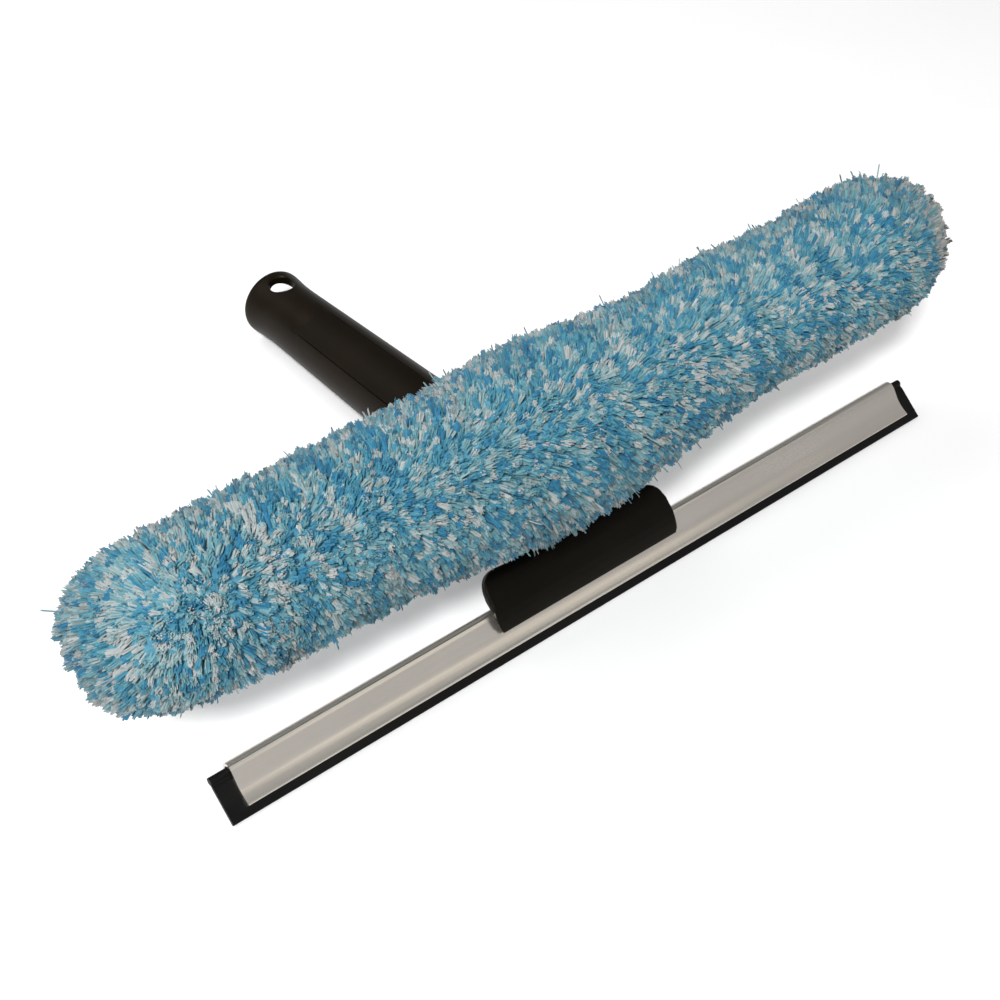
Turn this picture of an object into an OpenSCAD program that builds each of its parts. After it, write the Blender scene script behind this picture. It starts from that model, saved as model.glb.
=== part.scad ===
// Window washer and squeegee on one handle.
// The blade's lip line lies along X, the handle runs back toward +Y and +Z is up.
// The part rests on its rubber lip and on the open end of the handle.

/* [Blade] */
// Length of the rubber blade
rubber_len = 355; // [300:1:400]
// Thickness of the rubber blade
rubber_t = 1.6; // [1.4:0.1:1.8]
// Length of the aluminium channel
channel_len = 341; // [290:1:355]
// Middle of the channel and the rubber, measured along the blade from the handle
blade_shift = 10; // [0:1:16]
// Lean of the blade from the ground
blade_tilt = 37; // [35:1:39]

/* [Handle] */
// Distance from the blade's lip to the open end of the handle
reach = 227; // [220:1:240]
// Rise of the handle toward the blade, in degrees
handle_tilt = 3.5; // [3:0.1:4]
// Radius of the handle at its waist, next to the open end
waist_r = 14.4; // [14.2:0.1:15]
// Radius of the socket for an extension pole
socket_r = 11.25; // [10.5:0.05:11.5]
// Depth of the socket for an extension pole
socket_depth = 82; // [60:1:90]
// Radius of the hanging hole
hang_r = 5.5; // [4:0.1:6]

/* [Clamp] */
// Width of the clamp's front jaw
jaw_w = 90; // [84:1:94]
// Height above the lip of the jaw's lower edge
jaw_low = 10.1; // [9.8:0.1:10.6]
// Height above the lip of the jaw's upper edge
jaw_high = 31.5; // [31:0.1:32]

/* [Washer] */
// Length of the T-bar without its caps
bar_len = 352; // [320:1:360]
// Outer radius of the T-bar
bar_r = 12; // [11.8:0.1:12.1]
// Length of the fluffy sleeve
sleeve_len = 394; // [392:1:430]
// Outer radius of the pile
pile_r = 30; // [26:0.5:31]
// Height of the T-bar above the ground
bar_z = 83.2; // [82:0.1:85]

/* [Hidden] */
$fn = 64;

// Clearances
slide_gap = 0.3;    // between pieces of different bodies
screw_gap = 0.05;   // between a screw's shank and its hole

// Places, from the middle of the lip
bar_y = 22.6;
handle_r0 = waist_r + 0.95;
far_y = reach + handle_r0 * sin(handle_tilt);
mid_y = (far_y + bar_y - pile_r) / 2;
lip_drop = rubber_t / 2 * cos(blade_tilt);
handle_z = handle_r0 * cos(handle_tilt);
handle_len = 176;

// Blade section, h up from the lip and n out from its middle plane
lip_h = 3.3;
lip_half = 2.6;
tube_h = 16.3;
tube_r = 4;
tube_wall = 1.25;
scoop_r = 28;
scoop_h = 9.5;
scoop_n = 29.9;
bead_h = 17.1;
bead_r = 1.5;
slot_gap = 0.12;

// Clamp
jaw_front = 9.5;
jaw_corner = 10.3;
back_w = 84;
clamp_screw_x = 33;
clamp_screw_h = 25.5;

// Sleeve
back_in = 13.4;
back_out = 14.6;
strip_t = 0.5;
slot_half = 10.8;
slot_start = -25;
backing_end = sleeve_len / 2 - 15;
disc_t = 1.4;
cap_t = 4;
hem_w = 7;

// Screws
shank_r = 1.65;
head_r = 3.2;

// Radius of the handle's outside at a distance d from its open end
function handle_r(d) = waist_r + 0.0225 * max(d - 15, 0) + 0.95 * exp(-pow(d / 9, 2));

// Radius of the pile at a distance x along the sleeve, fullest near the middle
function pile_at(x) =
  let (end = sleeve_len / 2, dome = 16, over = max(abs(x) - (end - dome), 0))
  (pile_r - 1.6 * pow(x / end, 2)) * sqrt(max(1 - 0.72 * pow(over / dome, 2), 0));

// Moves children to the row frame from a frame whose origin is the middle of the lip
module from_lip() {
  translate([0, -mid_y, lip_drop]) children();
}

// Blade frame: Y is the height h above the lip, Z is the distance n in front of the blade
module on_blade() {
  from_lip() rotate([blade_tilt, 0, 0]) children();
}

// Handle frame: Z runs along the handle from its open end, and -Y faces up
module on_handle() {
  translate([0, reach - mid_y, handle_z])
    rotate([-handle_tilt, 0, 0])
    rotate([90, 0, 0])
    rotate([0, 0, 180])
    children();
}

// Bar frame: Z runs along +X, and X faces down
module on_bar() {
  translate([0, bar_y - mid_y, bar_z]) rotate([0, 90, 0]) children();
}

// Extrudes an outline drawn in h and n along X
module along_x(len, shift = 0) {
  translate([shift - len / 2, 0, 0]) rotate([90, 0, 90]) linear_extrude(len) children();
}

module ring(r_in, r_out, z0, z1) {
  translate([0, 0, z0]) difference() {
    cylinder(r = r_out, h = z1 - z0);
    translate([0, 0, -1]) cylinder(r = r_in, h = z1 - z0 + 2);
  }
}

// Sector of a turned profile, from angle a0 to a1
module sector(a0, a1) {
  rotate([0, 0, a0]) rotate_extrude(angle = a1 - a0) children();
}

// Handle ---------------------------------------------------------------------

inlay_a0 = -90 - 11;
inlay_a1 = -90 + 57;
inlay_d0 = 35;
inlay_d1 = 166;
inlay_t = 1.2;
hang_d = 10.5;
spigot_r = 12.2;
spigot_len = 22;
core_d = 100;
core_r = 11.5;
handle_screw_d = 166;
handle_screw_in = 4.5;
handle_screw_seat = 15.6;
screw_head_t = 1.9;
seat_r = head_r + 0.3;

module handle() {
  color("#262324") on_handle() difference() {
    rotate_extrude() {
      polygon(concat(
        [[0, 0], [handle_r(0) - 1.4, 0], [handle_r(0.4) - 0.6, 0.4]],
        [for (d = [1.2, 3, 5, 7, 9, 12, 15, 20]) [handle_r(d), d]],
        [[handle_r(handle_len), handle_len], [0, handle_len]]
      ));
    }
    translate([0, 0, -1]) cylinder(r = socket_r, h = socket_depth + 1);
    translate([0, 0, -0.01]) cylinder(r1 = socket_r + 1, r2 = socket_r, h = 1);
    translate([0, 0, handle_len - spigot_len]) cylinder(r = spigot_r + screw_gap, h = spigot_len + 1);
    translate([0, 0, core_d]) cylinder(r = core_r, h = handle_len - spigot_len - core_d + 1);
    translate([0, 0, hang_d]) rotate([90, 0, 0]) cylinder(r = hang_r, h = 60, center = true);
    sector(inlay_a0, inlay_a1) handle_recess();
    handle_screw_hole();
  }
}

module handle_recess() {
  polygon([
    [handle_r(inlay_d0) - inlay_t, inlay_d0],
    [handle_r(inlay_d0) + 2, inlay_d0],
    [handle_r(inlay_d1) + 2, inlay_d1],
    [handle_r(inlay_d1) - inlay_t, inlay_d1]
  ]);
}

module grip_inlay() {
  side_gap = 1.4;
  end_gap = 0.4;
  sunk = 0.1;
  d0 = inlay_d0 + end_gap;
  d1 = inlay_d1 - end_gap;
  color("#1f1d1e") on_handle() sector(inlay_a0 + side_gap, inlay_a1 - side_gap) polygon([
    [handle_r(d0) - inlay_t, d0],
    [handle_r(d0) - sunk, d0],
    [handle_r(d1) - sunk, d1],
    [handle_r(d1) - inlay_t, d1]
  ]);
}

module handle_screw_hole() {
  translate([0, 0, handle_screw_d]) rotate([-90, 0, 0]) {
    cylinder(r = shank_r + screw_gap, h = 40);
    translate([0, 0, handle_screw_seat]) cylinder(r = seat_r, h = 20);
  }
}

module handle_screw() {
  color("silver") on_handle() translate([0, 0, handle_screw_d]) rotate([-90, 0, 0]) {
    translate([0, 0, handle_screw_in]) cylinder(r = shank_r, h = handle_screw_seat - handle_screw_in);
    translate([0, 0, handle_screw_seat]) screw_head();
  }
}

// Round screw head with a cross recess
module screw_head() {
  cross_len = 3.4;
  cross_w = 0.7;
  cross_deep = 0.9;
  difference() {
    cylinder(r = head_r, h = screw_head_t);
    for (a = [0, 90]) rotate([0, 0, a])
      translate([-cross_len / 2, -cross_w / 2, screw_head_t - cross_deep]) cube([cross_len, cross_w, 2]);
  }
}

// Clamp and head -------------------------------------------------------------

// Outline of the channel's outside, grown by g
module channel_outline(g) {
  translate([tube_h, 0]) circle(r = tube_r + g);
  difference() {
    translate([lip_h - g, -lip_half - g]) square([tube_h - lip_h + g, 2 * (lip_half + g)]);
    for (side = [-1, 1]) translate([scoop_h, side * scoop_n]) circle(r = scoop_r - g, $fn = 180);
  }
}

// Plan of a jaw with rounded upper corners
module jaw_plan(w) {
  corner = jaw_corner;
  translate([-w / 2, jaw_low]) square([w, jaw_high - jaw_low - corner]);
  translate([-w / 2 + corner, jaw_low]) square([w - 2 * corner, jaw_high - jaw_low]);
  for (side = [-1, 1]) translate([side * (w / 2 - corner), jaw_high - corner]) circle(r = corner);
}

clamp_seat = 5.6;
clamp_screw_in = 6;

module clamp_screw_places() {
  for (side = [-1, 1]) translate([side * clamp_screw_x, clamp_screw_h, 0]) children();
}

module front_jaw() {
  color("#1d1b1c") on_blade() difference() {
    intersection() {
      along_x(jaw_w) polygon([
        [jaw_low, 1.6], [jaw_low, 4.6], [11.5, 5.6], [14, 7], [17, 8.3], [20, 9.1],
        [24, jaw_front], [28, jaw_front], [30.3, 9.1], [jaw_high, 8],
        [jaw_high, 0], [20, 0], [20, 1.6]
      ]);
      linear_extrude(jaw_front + 1) jaw_plan(jaw_w);
    }
    along_x(jaw_w + 2) channel_outline(slide_gap);
    clamp_screw_places() translate([0, 0, -1]) cylinder(r = shank_r + screw_gap, h = clamp_screw_in + 1.6);
  }
}

// The head carries the back jaw, the pad for the neck and the spigot for the handle
module head() {
  pad_half = 24;
  pad_low = 26;
  color("#232122") difference() {
    union() {
      on_blade() intersection() {
        along_x(back_w) polygon([
          [jaw_low, -1.6], [jaw_low, -5.4], [15, -7.6], [30, -8.5], [jaw_high, -8.2],
          [jaw_high, 0], [20, 0], [20, -1.6]
        ]);
        translate([0, 0, -20]) linear_extrude(21) jaw_plan(back_w);
      }
      hull() {
        on_blade() translate([-pad_half, pad_low, -8]) cube([2 * pad_half, jaw_high - pad_low, 8]);
        on_handle() translate([0, 0, handle_len]) cylinder(r = handle_r(handle_len) - 0.4, h = 2, $fn = 48);
      }
      hull() {
        on_blade() translate([-pad_half, jaw_high, -4]) cube([2 * pad_half, 14, 4]);
        neck_foot();
      }
      on_handle() translate([0, 0, handle_len - spigot_len + 1])
        cylinder(r = spigot_r, h = spigot_len + 6);
    }
    on_blade() along_x(back_w + 2) channel_outline(slide_gap);
    on_blade() translate([-jaw_w / 2, 0, 0]) cube([jaw_w, jaw_high, 20]);
    on_blade() clamp_screw_places() mirror([0, 0, 1]) {
      translate([0, 0, -1]) cylinder(r = shank_r + screw_gap, h = 20);
      translate([0, 0, clamp_seat]) cylinder(r = seat_r, h = 20);
    }
    neck_screw_places() {
      translate([0, 0, -20]) cylinder(r = shank_r + screw_gap, h = 40);
      translate([0, 0, -40]) cylinder(r = seat_r, h = 40 - neck_seat);
    }
    on_handle() handle_screw_hole();
  }
}

module clamp_screws() {
  color("silver") on_blade() clamp_screw_places() mirror([0, 0, 1]) {
    translate([0, 0, -clamp_screw_in]) cylinder(r = shank_r, h = clamp_screw_in + clamp_seat);
    translate([0, 0, clamp_seat]) screw_head();
  }
}

// Neck -----------------------------------------------------------------------

foot_z = 42;
foot_y = 24.6;
foot_t = 3;
neck_screw_x = 15;
neck_seat = 6;
bar_screw_x = 12;
saddle_z = bar_z - bar_r - 8;

// Slab under the neck, its top at foot_z
module neck_foot() {
  translate([0, foot_y - mid_y, foot_z - foot_t]) oval(25, 10, foot_t);
}

module neck_screw_places() {
  for (side = [-1, 1]) translate([side * neck_screw_x, foot_y - mid_y, foot_z]) children();
}

module bar_screw_places() {
  for (side = [-1, 1]) translate([side * bar_screw_x, bar_y - mid_y, bar_z - bar_r]) children();
}

module neck() {
  saddle_half = 21;
  saddle_w = 17;
  color("#232122") difference() {
    union() {
      translate([0, 0, foot_t]) neck_foot();
      hull() {
        translate([0, foot_y - mid_y, foot_z + foot_t - 1]) oval(22, 9, 2);
        translate([0, bar_y - mid_y, saddle_z]) oval(saddle_half, 8, 2);
      }
      hull() {
        translate([0, bar_y - mid_y, saddle_z]) oval(saddle_half, 8, 2);
        translate([-saddle_half, bar_y - mid_y - saddle_w / 2, bar_z - bar_r + 1])
          cube([2 * saddle_half, saddle_w, 2.4]);
      }
    }
    on_bar() translate([0, 0, -60]) cylinder(r = bar_r + screw_gap, h = 120);
    neck_screw_places() translate([0, 0, -1]) cylinder(r = shank_r + screw_gap, h = 9);
    bar_screw_places() translate([0, 0, -12]) cylinder(r = shank_r + screw_gap, h = 20);
  }
}

// Stadium of half length a and half width b, extruded by h
module oval(a, b, h) {
  linear_extrude(h) {
    square([2 * (a - b), 2 * b], center = true);
    for (side = [-1, 1]) translate([side * (a - b), 0]) circle(r = b, $fn = 32);
  }
}

module neck_screws() {
  color("silver") neck_screw_places() {
    translate([0, 0, -neck_seat]) cylinder(r = shank_r, h = neck_seat + 7);
    translate([0, 0, -neck_seat]) mirror([0, 0, 1]) screw_head();
  }
}

// T-bar ----------------------------------------------------------------------

bar_wall = 2.2;
washer_gap = 0.7;

module t_bar() {
  color("#2b2a2c") difference() {
    on_bar() ring(bar_r - bar_wall, bar_r, -bar_len / 2, bar_len / 2);
    bar_screw_places() {
      translate([0, 0, -1]) cylinder(r = shank_r + screw_gap, h = 6);
      translate([0, 0, bar_r]) cylinder(r = head_r + 0.4, h = 2 * bar_r);
    }
  }
}

module bar_screws() {
  color("silver") bar_screw_places() {
    translate([0, 0, -10]) cylinder(r = shank_r, h = 10 + bar_wall + 1);
    translate([0, 0, bar_wall + washer_gap]) screw_head();
  }
}

// Cap that plugs one end of the bar, side is -1 for the left and 1 for the right
module bar_cap(side) {
  plug_r = bar_r - bar_wall - 0.05;
  plug_len = 10;
  color("#232122") on_bar() on_side(side) translate([0, 0, bar_len / 2]) rotate_extrude()
    polygon([
      [0, -plug_len], [plug_r, -plug_len], [plug_r, 0],
      [bar_r, 0], [bar_r, cap_t - 1.6], [bar_r - 1.2, cap_t - 0.3], [bar_r - 3, cap_t], [0, cap_t]
    ]);
}

module on_side(side) {
  mirror([0, 0, side < 0 ? 1 : 0]) children();
}

module bar_cap_left() { bar_cap(-1); }
module bar_cap_right() { bar_cap(1); }

// Places of the hook and loop strips: one near each end, on the upper side of the bar
strip_x = [-150, 120];
strip_len = 45;
strip_half_angle = 28;

module strips(r_in, r_out) {
  for (x = strip_x) on_bar() translate([0, 0, x])
    sector(180 - strip_half_angle, 180 + strip_half_angle) translate([r_in, 0])
    square([r_out - r_in, strip_len]);
}

module hook_strips() { color("#3a3a3e") strips(bar_r, bar_r + strip_t); }
module loop_strips() { color("#d9d6cf") strips(back_in - strip_t, back_in); }

// Blade ----------------------------------------------------------------------

module channel() {
  color("#b9b6b8") on_blade() difference() {
    along_x(channel_len, blade_shift) channel_outline(0);
    along_x(channel_len + 2, blade_shift) translate([tube_h, 0]) circle(r = tube_r - tube_wall);
    along_x(channel_len + 2, blade_shift) translate([0, -rubber_t / 2 - slot_gap])
      square([tube_h, rubber_t + 2 * slot_gap]);
  }
}

// Open ring round the rubber's bead, inside one end of the channel's tube
module end_clip(side) {
  clip_len = 12;
  x = blade_shift + side * (channel_len / 2 - clip_len / 2 - 0.5);
  color("#4a4a4c") on_blade() along_x(clip_len, x) difference() {
    translate([tube_h, 0]) circle(r = tube_r - tube_wall - 0.02);
    translate([bead_h, 0]) circle(r = bead_r + 0.2);
    translate([0, -bead_r - 0.1]) square([bead_h, 2 * bead_r + 0.2]);
  }
}

module end_clip_left() { end_clip(-1); }
module end_clip_right() { end_clip(1); }

module rubber_blade() {
  strip_h = bead_h - bead_r - 0.9;
  neck_t = 1.1;
  color("#19181a") on_blade() along_x(rubber_len, blade_shift - 0.5) {
    translate([0, -rubber_t / 2]) square([strip_h, rubber_t]);
    translate([strip_h - 0.1, -neck_t / 2]) square([bead_r, neck_t]);
    translate([bead_h, 0]) circle(r = bead_r);
  }
}

// Sleeve ---------------------------------------------------------------------

// Space that the neck passes along as the sleeve slides on, open at the right end
module neck_slot() {
  depth = 60;
  translate([slot_start, bar_y - mid_y - slot_half, bar_z - depth])
    cube([sleeve_len, 2 * slot_half, depth]);
}

module sleeve_backing() {
  color("#e4dccb") difference() {
    on_bar() ring(back_in, back_out, -backing_end, backing_end);
    neck_slot();
  }
}

module end_disc() {
  color("#e4dccb") on_bar() translate([0, 0, -backing_end - disc_t]) cylinder(r = back_out, h = disc_t);
}

module sleeve_pile() {
  steps = 44;
  pile_in = back_out + 0.02;
  color("#6fb4d6") difference() {
    on_bar() rotate_extrude() {
      polygon(concat(
        [[0, -sleeve_len / 2]],
        [for (i = [0:steps]) let (x = sleeve_len / 2 * sin(180 * i / steps - 90)) [pile_at(x), x]],
        [[pile_in, sleeve_len / 2], [pile_in, -backing_end - disc_t], [0, -backing_end - disc_t]]
      ));
    }
    neck_slot();
  }
}

// Tape that edges the slot on both sides and round its closed end
module slot_binding() {
  tape_t = 1.2;
  tape_w = 3.4;
  tape_z = bar_z - 11.3;
  end_drop = 4.6;
  tape_len = backing_end - slot_start;
  color("#d9d2c4") translate([slot_start, bar_y - mid_y, tape_z]) {
    for (y = [-slot_half, slot_half - tape_t]) translate([0, y, 0]) cube([tape_len, tape_t, tape_w]);
    translate([0, -slot_half, -end_drop]) cube([tape_t, 2 * slot_half, tape_w - 0.1]);
  }
}

module end_hem() {
  color("#ece5d6") difference() {
    on_bar() ring(back_in, back_out, backing_end, backing_end + hem_w);
    neck_slot();
  }
}

handle();
grip_inlay();
handle_screw();
head();
front_jaw();
clamp_screws();
neck();
neck_screws();
t_bar();
bar_screws();
bar_cap_left();
bar_cap_right();
hook_strips();
channel();
end_clip_left();
end_clip_right();
rubber_blade();
sleeve_backing();
sleeve_pile();
slot_binding();
loop_strips();
end_hem();
end_disc();
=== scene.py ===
import math

import bmesh
import bpy
import numpy as np
from mathutils import Matrix, Vector


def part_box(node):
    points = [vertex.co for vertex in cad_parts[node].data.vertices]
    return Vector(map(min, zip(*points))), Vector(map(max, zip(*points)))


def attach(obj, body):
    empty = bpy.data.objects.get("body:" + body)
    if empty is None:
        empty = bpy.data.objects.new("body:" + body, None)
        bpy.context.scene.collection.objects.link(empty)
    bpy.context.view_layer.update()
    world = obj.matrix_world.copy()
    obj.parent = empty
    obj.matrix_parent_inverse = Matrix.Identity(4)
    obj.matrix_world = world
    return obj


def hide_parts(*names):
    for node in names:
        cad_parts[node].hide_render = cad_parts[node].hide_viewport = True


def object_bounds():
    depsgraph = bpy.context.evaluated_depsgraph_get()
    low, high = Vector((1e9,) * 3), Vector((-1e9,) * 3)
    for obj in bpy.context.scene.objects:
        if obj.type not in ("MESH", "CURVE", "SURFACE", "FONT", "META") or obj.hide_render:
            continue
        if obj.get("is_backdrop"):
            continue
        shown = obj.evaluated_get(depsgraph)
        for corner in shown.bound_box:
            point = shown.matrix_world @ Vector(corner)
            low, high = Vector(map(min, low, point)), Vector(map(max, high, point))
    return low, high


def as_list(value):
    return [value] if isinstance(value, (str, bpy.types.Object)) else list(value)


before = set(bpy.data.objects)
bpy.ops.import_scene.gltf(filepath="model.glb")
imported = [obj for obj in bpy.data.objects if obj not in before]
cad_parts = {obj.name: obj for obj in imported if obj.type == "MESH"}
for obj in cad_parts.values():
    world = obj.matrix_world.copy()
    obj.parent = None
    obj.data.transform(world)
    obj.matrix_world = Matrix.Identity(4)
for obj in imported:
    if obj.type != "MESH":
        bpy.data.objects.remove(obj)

MM = 0.001
ALONG = np.array((1.0, 0.0, 0.0))
cad_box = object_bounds()
rng = np.random.default_rng(7)


# ---- Places, from the CAD parts ----

BLADE_TILT = math.radians(37)
HANDLE_TILT = math.radians(3.5)
RUBBER_HALF = 0.8 * MM
HANDLE_END_R = 15.35 * MM
HANDLE_WAIST_R = 14.4 * MM
FLARE, FLARE_LEN = 0.95, 9
TAPER, TAPER_START = 0.0225, 15
BACKING_T = 1.2 * MM
STRIP_LEN = 45 * MM


def corners(node):
    """The low and high corners of a CAD node's box."""
    low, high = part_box(node)
    return np.array(low), np.array(high)


rubber_low, rubber_high = corners("rubber_blade")
channel_low, channel_high = corners("channel")
bar_low, bar_high = corners("t_bar")
backing_low, backing_high = corners("sleeve_backing")
handle_low, handle_high = corners("handle")
binding_low, binding_high = corners("slot_binding")
hem_low, hem_high = corners("end_hem")

lip_y = rubber_low[1] + RUBBER_HALF * math.sin(BLADE_TILT)
lip_z = rubber_low[2] + RUBBER_HALF * math.cos(BLADE_TILT)
bar_y, bar_z = (bar_low[1] + bar_high[1]) / 2, (bar_low[2] + bar_high[2]) / 2
pile_end = corners("sleeve_pile")[1][0]
backing_r = (backing_high[2] - backing_low[2]) / 2
backing_end = backing_high[0]
slot_start = binding_low[0]
hem_middle = (hem_low[0] + hem_high[0]) / 2
disc_back = -corners("end_disc")[0][0]
bar_r = (bar_high[2] - bar_low[2]) / 2
backing_in = backing_r - BACKING_T
slot_half = (binding_high[1] - binding_low[1]) / 2
handle_end = Vector((0, handle_high[1] - HANDLE_END_R * math.sin(HANDLE_TILT),
                     handle_low[2] + HANDLE_END_R * math.cos(HANDLE_TILT)))
handle_axis = Vector((0, -math.cos(HANDLE_TILT), math.sin(HANDLE_TILT)))
handle_up = Vector((0, math.sin(HANDLE_TILT), math.cos(HANDLE_TILT)))


def blade_point(x, h, n):
    """A point h up the blade from its lip and n in front of its middle plane."""
    return (x, lip_y + h * math.cos(BLADE_TILT) - n * math.sin(BLADE_TILT),
            lip_z + h * math.sin(BLADE_TILT) + n * math.cos(BLADE_TILT))


def handle_r(d):
    """Outer radius of the handle at a distance d from its open end."""
    mm = d / MM
    flare = FLARE * math.exp(-(mm / FLARE_LEN) ** 2)
    return HANDLE_WAIST_R + (TAPER * max(mm - TAPER_START, 0) + flare) * MM


def handle_point(d, angle, r):
    """A point of the handle: angle from its top, positive toward +X."""
    side = Vector((math.sin(angle), 0, 0))
    return handle_end + handle_axis * d + (side + handle_up * math.cos(angle)) * r


# ---- Materials ----

class Look:
    """A Principled material and the nodes that feed it."""

    def __init__(self, name, **values):
        self.material = bpy.data.materials.new(name)
        self.material.use_nodes = True
        self.tree = self.material.node_tree
        self.shader = self.tree.nodes["Principled BSDF"]
        self.place = self.node("ShaderNodeTexCoord").outputs["Object"]
        for socket, value in values.items():
            self.shader.inputs[socket.replace("_", " ")].default_value = value

    def node(self, kind, **settings):
        made = self.tree.nodes.new(kind)
        for name, value in settings.items():
            setattr(made, name, value)
        return made

    def link(self, a, b):
        self.tree.links.new(a, b)

    def stretched(self, scale, turn=(0, 0, 0)):
        mapping = self.node("ShaderNodeMapping")
        mapping.inputs["Scale"].default_value = scale
        mapping.inputs["Rotation"].default_value = turn
        self.link(self.place, mapping.inputs["Vector"])
        return mapping.outputs["Vector"]

    def noise(self, scale, detail=4, stretch=(1, 1, 1), rough=0.55, turn=(0, 0, 0)):
        made = self.node("ShaderNodeTexNoise")
        made.inputs["Scale"].default_value = scale
        made.inputs["Detail"].default_value = detail
        made.inputs["Roughness"].default_value = rough
        self.link(self.stretched(stretch, turn), made.inputs["Vector"])
        return made.outputs["Fac"]

    def cells(self, scale, stretch=(1, 1, 1)):
        made = self.node("ShaderNodeTexVoronoi")
        made.inputs["Scale"].default_value = scale
        self.link(self.stretched(stretch), made.inputs["Vector"])
        return made.outputs["Distance"]

    def bands(self, scale, direction, turn=(0, 0, 0)):
        made = self.node("ShaderNodeTexWave", bands_direction=direction)
        made.inputs["Scale"].default_value = scale
        made.inputs["Distortion"].default_value = 0.6
        self.link(self.stretched((1, 1, 1), turn), made.inputs["Vector"])
        return made.outputs["Fac"]

    def ramp(self, value, *stops):
        made = self.node("ShaderNodeValToRGB")
        while len(made.color_ramp.elements) < len(stops):
            made.color_ramp.elements.new(0.5)
        for element, (at, colour) in zip(made.color_ramp.elements, stops):
            element.position = at
            element.color = (*colour, 1) if len(colour) == 3 else colour
        self.link(value, made.inputs["Fac"])
        return made.outputs["Color"]

    def level(self, value, low, high):
        made = self.node("ShaderNodeMapRange")
        made.inputs["To Min"].default_value = low
        made.inputs["To Max"].default_value = high
        self.link(value, made.inputs["Value"])
        return made.outputs["Result"]

    def blend(self, a, b, share, kind="MIX"):
        made = self.node("ShaderNodeMix", data_type="RGBA", blend_type=kind)
        if isinstance(share, float):
            made.inputs[0].default_value = share
        else:
            self.link(share, made.inputs[0])
        for socket, colour in ((made.inputs[6], a), (made.inputs[7], b)):
            if isinstance(colour, tuple):
                socket.default_value = (*colour, 1)
            else:
                self.link(colour, socket)
        return made.outputs[2]

    def sum(self, a, b, how="ADD"):
        made = self.node("ShaderNodeMath", operation=how)
        self.link(a, made.inputs[0])
        if isinstance(b, (int, float)):
            made.inputs[1].default_value = b
        else:
            self.link(b, made.inputs[1])
        return made.outputs[0]

    def bump(self, height, depth, strength=1.0):
        made = self.node("ShaderNodeBump")
        made.inputs["Strength"].default_value = strength
        made.inputs["Distance"].default_value = depth
        self.link(height, made.inputs["Height"])
        before = self.shader.inputs["Normal"].links
        if before:
            self.link(before[0].from_socket, made.inputs["Normal"])
        self.link(made.outputs["Normal"], self.shader.inputs["Normal"])

    def colour(self, value):
        self.link(value, self.shader.inputs["Base Color"])

    def roughness(self, value):
        self.link(value, self.shader.inputs["Roughness"])


def black_plastic(name, dark, light, low_rough, high_rough, grain=0.02):
    """Moulded black plastic: a fine spark grain, slow sheen changes and faint scuffs."""
    look = Look(name, Specular_IOR_Level=0.1, Specular_Tint=(1.0, 0.84, 0.66, 1.0))
    slow = look.noise(38, 3)
    scuffs = look.noise(420, 5, stretch=(1, 0.18, 1))
    look.colour(look.ramp(slow, (0.3, dark), (0.75, light)))
    look.roughness(look.level(look.sum(slow, look.sum(scuffs, 0.35, "MULTIPLY")), low_rough, high_rough))
    look.bump(look.cells(2600), grain * MM, 0.35)
    look.bump(look.noise(95, 2), 0.03 * MM, 0.3)
    return look.material


def aluminium():
    """Satin anodised extrusion: fine die lines along X and a cloudy sheen."""
    look = Look("channel_aluminium", Metallic=0.92, Specular_IOR_Level=0.5)
    lines = look.noise(900, 3, stretch=(0.012, 1, 1))
    cloud = look.noise(26, 3, stretch=(0.35, 1, 1))
    base = look.ramp(cloud, (0.25, (0.73, 0.68, 0.615)), (0.8, (0.82, 0.765, 0.695)))
    look.colour(look.blend(base, (0.61, 0.575, 0.53), look.level(lines, 0.0, 0.35)))
    look.roughness(look.level(look.sum(look.sum(lines, cloud), 0.5, "MULTIPLY"), 0.17, 0.33))
    look.bump(lines, 0.012 * MM, 0.35)
    look.bump(look.noise(5200, 2), 0.004 * MM, 0.3)
    return look.material


def steel(name, tint, rough):
    look = Look(name, Metallic=1.0)
    lines = look.noise(1500, 4)
    look.colour(look.ramp(lines, (0.3, tuple(c * 0.82 for c in tint)), (0.75, tint)))
    look.roughness(look.level(lines, rough, rough + 0.16))
    look.bump(lines, 0.01 * MM, 0.4)
    return look.material


def black_rubber():
    look = Look("blade_rubber", Specular_IOR_Level=0.12)
    bloom = look.noise(60, 4, stretch=(0.3, 1, 1))
    look.colour(look.ramp(bloom, (0.3, (0.0022, 0.0022, 0.0022)), (0.8, (0.006, 0.0055, 0.0052))))
    look.roughness(look.level(bloom, 0.38, 0.6))
    look.bump(look.noise(1400, 3, stretch=(0.2, 1, 1)), 0.01 * MM, 0.35)
    return look.material


def cloth(name, dark, light, thread=0.7):
    """Plain woven cloth: crossing threads, thread thickness in mm."""
    look = Look(name, Sheen_Weight=0.25, Sheen_Roughness=0.5, Specular_IOR_Level=0.2)
    pitch = 0.31 / (thread * MM)
    warp = look.bands(pitch, "X")
    weft = look.bands(pitch, "Z", turn=(math.radians(35), 0, 0))
    weave = look.sum(warp, weft, "MULTIPLY")
    tone = look.sum(weave, look.noise(160, 4), "MULTIPLY")
    look.colour(look.ramp(tone, (0.0, dark), (0.5, light)))
    look.roughness(look.level(weave, 0.95, 0.78))
    look.bump(weave, 0.12 * MM, 0.7)
    look.bump(look.noise(2400, 3), 0.03 * MM, 0.5)
    return look.material


def fibre(name, dark, light):
    """Microfibre tufts of one shade: each strand differs a little along and across the pile."""
    look = Look(name, Sheen_Weight=0.12, Sheen_Roughness=0.45, Specular_IOR_Level=0.2)
    strands = look.noise(700, 2)
    patches = look.noise(75, 3)
    tone = look.sum(look.sum(strands, 0.45, "MULTIPLY"), look.sum(patches, 0.55, "MULTIPLY"))
    look.colour(look.ramp(tone, (0.34, dark), (0.62, light)))
    look.roughness(look.level(strands, 0.62, 0.86))
    return look.material


# ---- Mesh helpers ----

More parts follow.
